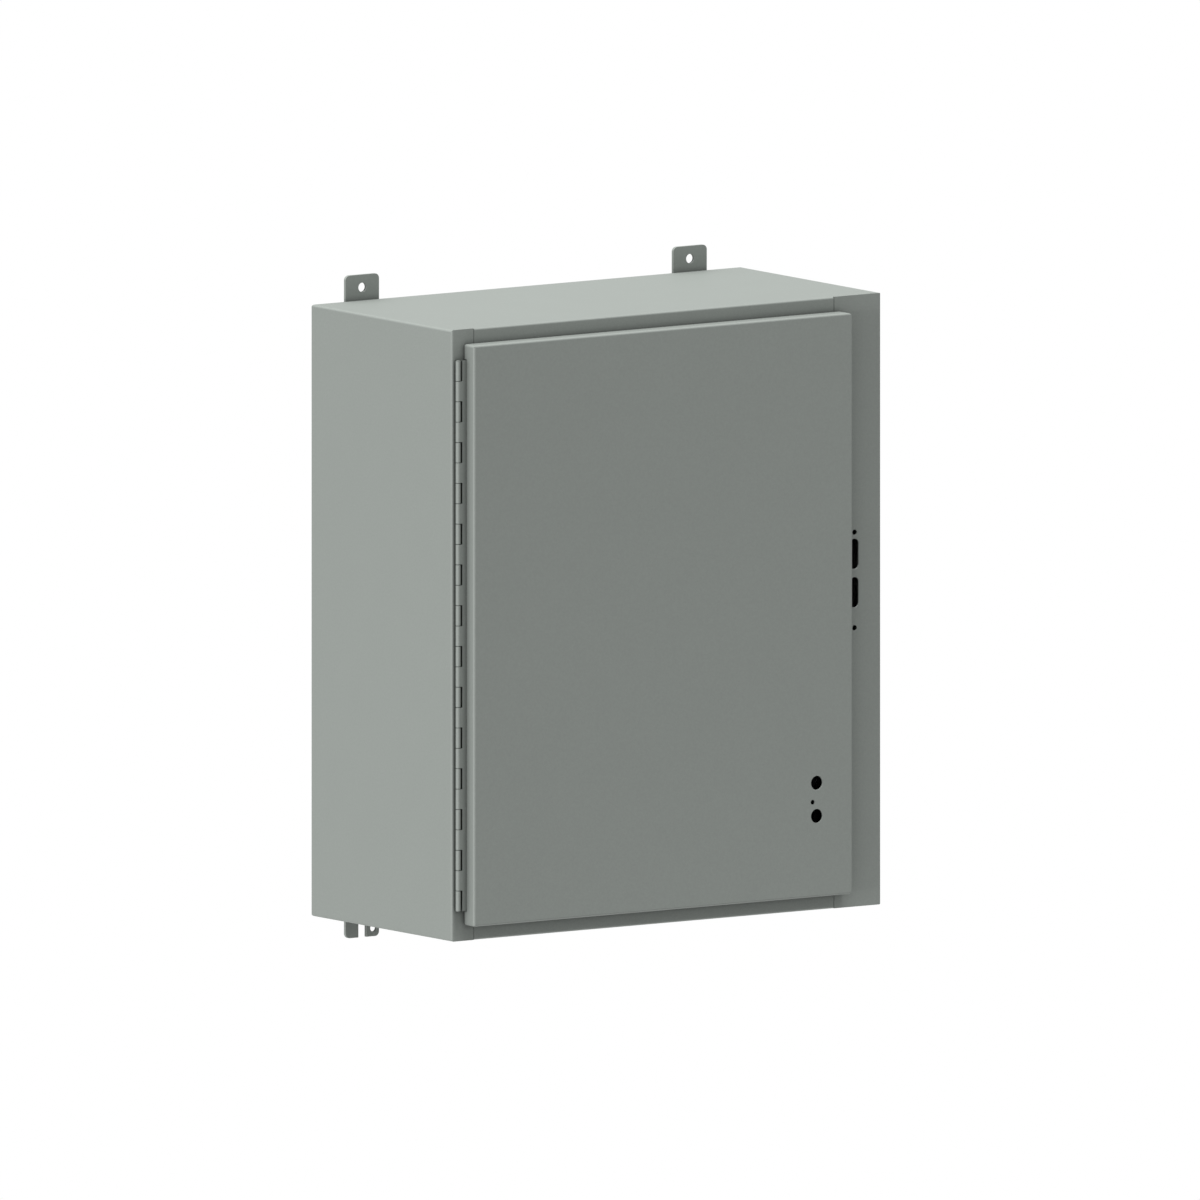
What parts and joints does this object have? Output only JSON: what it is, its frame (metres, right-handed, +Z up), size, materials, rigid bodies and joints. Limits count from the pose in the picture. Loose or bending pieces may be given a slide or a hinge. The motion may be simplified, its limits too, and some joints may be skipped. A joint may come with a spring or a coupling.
{
  "type": "wall-mount disconnect enclosure",
  "caption": "Wall-mount sheet-steel disconnect enclosure with a left-hinged gasketed door, continuous hinge, three-point latch and inner mounting panel.",
  "frame": {"origin": "on the wall plane, midway between the bolt holes of the two upper feet", "axes": "+Z up, +X to the right seen from the front, +Y into the wall, so the door faces -Y"},
  "size_m": [0.6446, 0.3312, 0.8255],
  "materials": {
    "grey_powder_coat": "fine-textured grey powder coat",
    "white_powder_coat": "smooth white powder coat",
    "zinc_steel": "bright zinc plating",
    "black_steel": "black oxide",
    "foam_rubber": "matte closed-cell foam",
    "grey_plastic": "moulded thermoplastic"
  },
  "bodies": {
    "cabinet": {"body_wrap": "grey_powder_coat", "left_side_panel": "grey_powder_coat", "right_side_panel": "grey_powder_coat", "upper_left_foot": "grey_powder_coat", "upper_right_foot": "grey_powder_coat", "lower_left_foot": "grey_powder_coat", "lower_right_foot": "grey_powder_coat", "hinge_body_leaf": "grey_powder_coat", "hinge_pin": "grey_powder_coat", "panel_studs": "zinc_steel", "mounting_panel": "white_powder_coat", "panel_washers": "zinc_steel", "panel_nuts": "zinc_steel", "body_ground_stud": "zinc_steel", "body_ground_nuts": "zinc_steel"},
    "door": {"door_panel": "grey_powder_coat", "hinge_door_leaf": "grey_powder_coat", "door_gasket": "foam_rubber", "door_stiffener": "grey_powder_coat", "print_pocket": "grey_plastic", "pocket_studs": "zinc_steel", "pocket_nuts": "zinc_steel", "door_ground_stud": "zinc_steel", "door_ground_nuts": "zinc_steel", "latch_bracket": "black_steel", "bracket_studs": "zinc_steel", "bracket_nuts": "zinc_steel", "upper_rod_guides": "grey_powder_coat", "lower_rod_guide": "grey_powder_coat"},
    "latch_cam": {"latch_cam": "black_steel", "cam_pins": "zinc_steel", "cam_retaining_ring": "zinc_steel"},
    "upper_rod": {"upper_latch_rod": "black_steel", "upper_roller_axle": "zinc_steel"},
    "upper_roller": {"upper_roller": "zinc_steel"},
    "lower_rod": {"lower_latch_rod": "black_steel", "lower_roller_axle": "zinc_steel"},
    "lower_roller": {"lower_roller": "zinc_steel"}
  },
  "joints": [
    {"name": "door_hinge", "type": "hinge", "parent": "cabinet", "child": "door", "pos_m": [-0.31495, -0.3122, -0.39687], "axis": [0, 0, -1], "range_deg": [0, 180]},
    {"name": "latch_turn", "type": "hinge", "parent": "door", "child": "latch_cam", "pos_m": [0.21045, -0.3106, -0.61608], "axis": [0, 1, 0], "range_deg": [0, 90]},
    {"name": "upper_rod_slide", "type": "slide", "parent": "door", "child": "upper_rod", "axis": [0, 0, 1], "range_m": [0, 0.02547]},
    {"name": "lower_rod_slide", "type": "slide", "parent": "door", "child": "lower_rod", "axis": [0, 0, -1], "range_m": [0, 0.02547]},
    {"name": "upper_roller_spin", "type": "hinge", "parent": "upper_rod", "child": "upper_roller", "pos_m": [0.19509, -0.2984, -0.06087], "axis": [1, 0, 0], "continuous": true},
    {"name": "lower_roller_spin", "type": "hinge", "parent": "lower_rod", "child": "lower_roller", "pos_m": [0.22581, -0.2984, -0.73288], "axis": [1, 0, 0], "continuous": true}
  ],
  "couplings": [
    {"joint": "upper_rod_slide", "follows": "latch_turn", "m_per_rad": 0.016206},
    {"joint": "lower_rod_slide", "follows": "latch_turn", "m_per_rad": 0.016206}
  ]
}
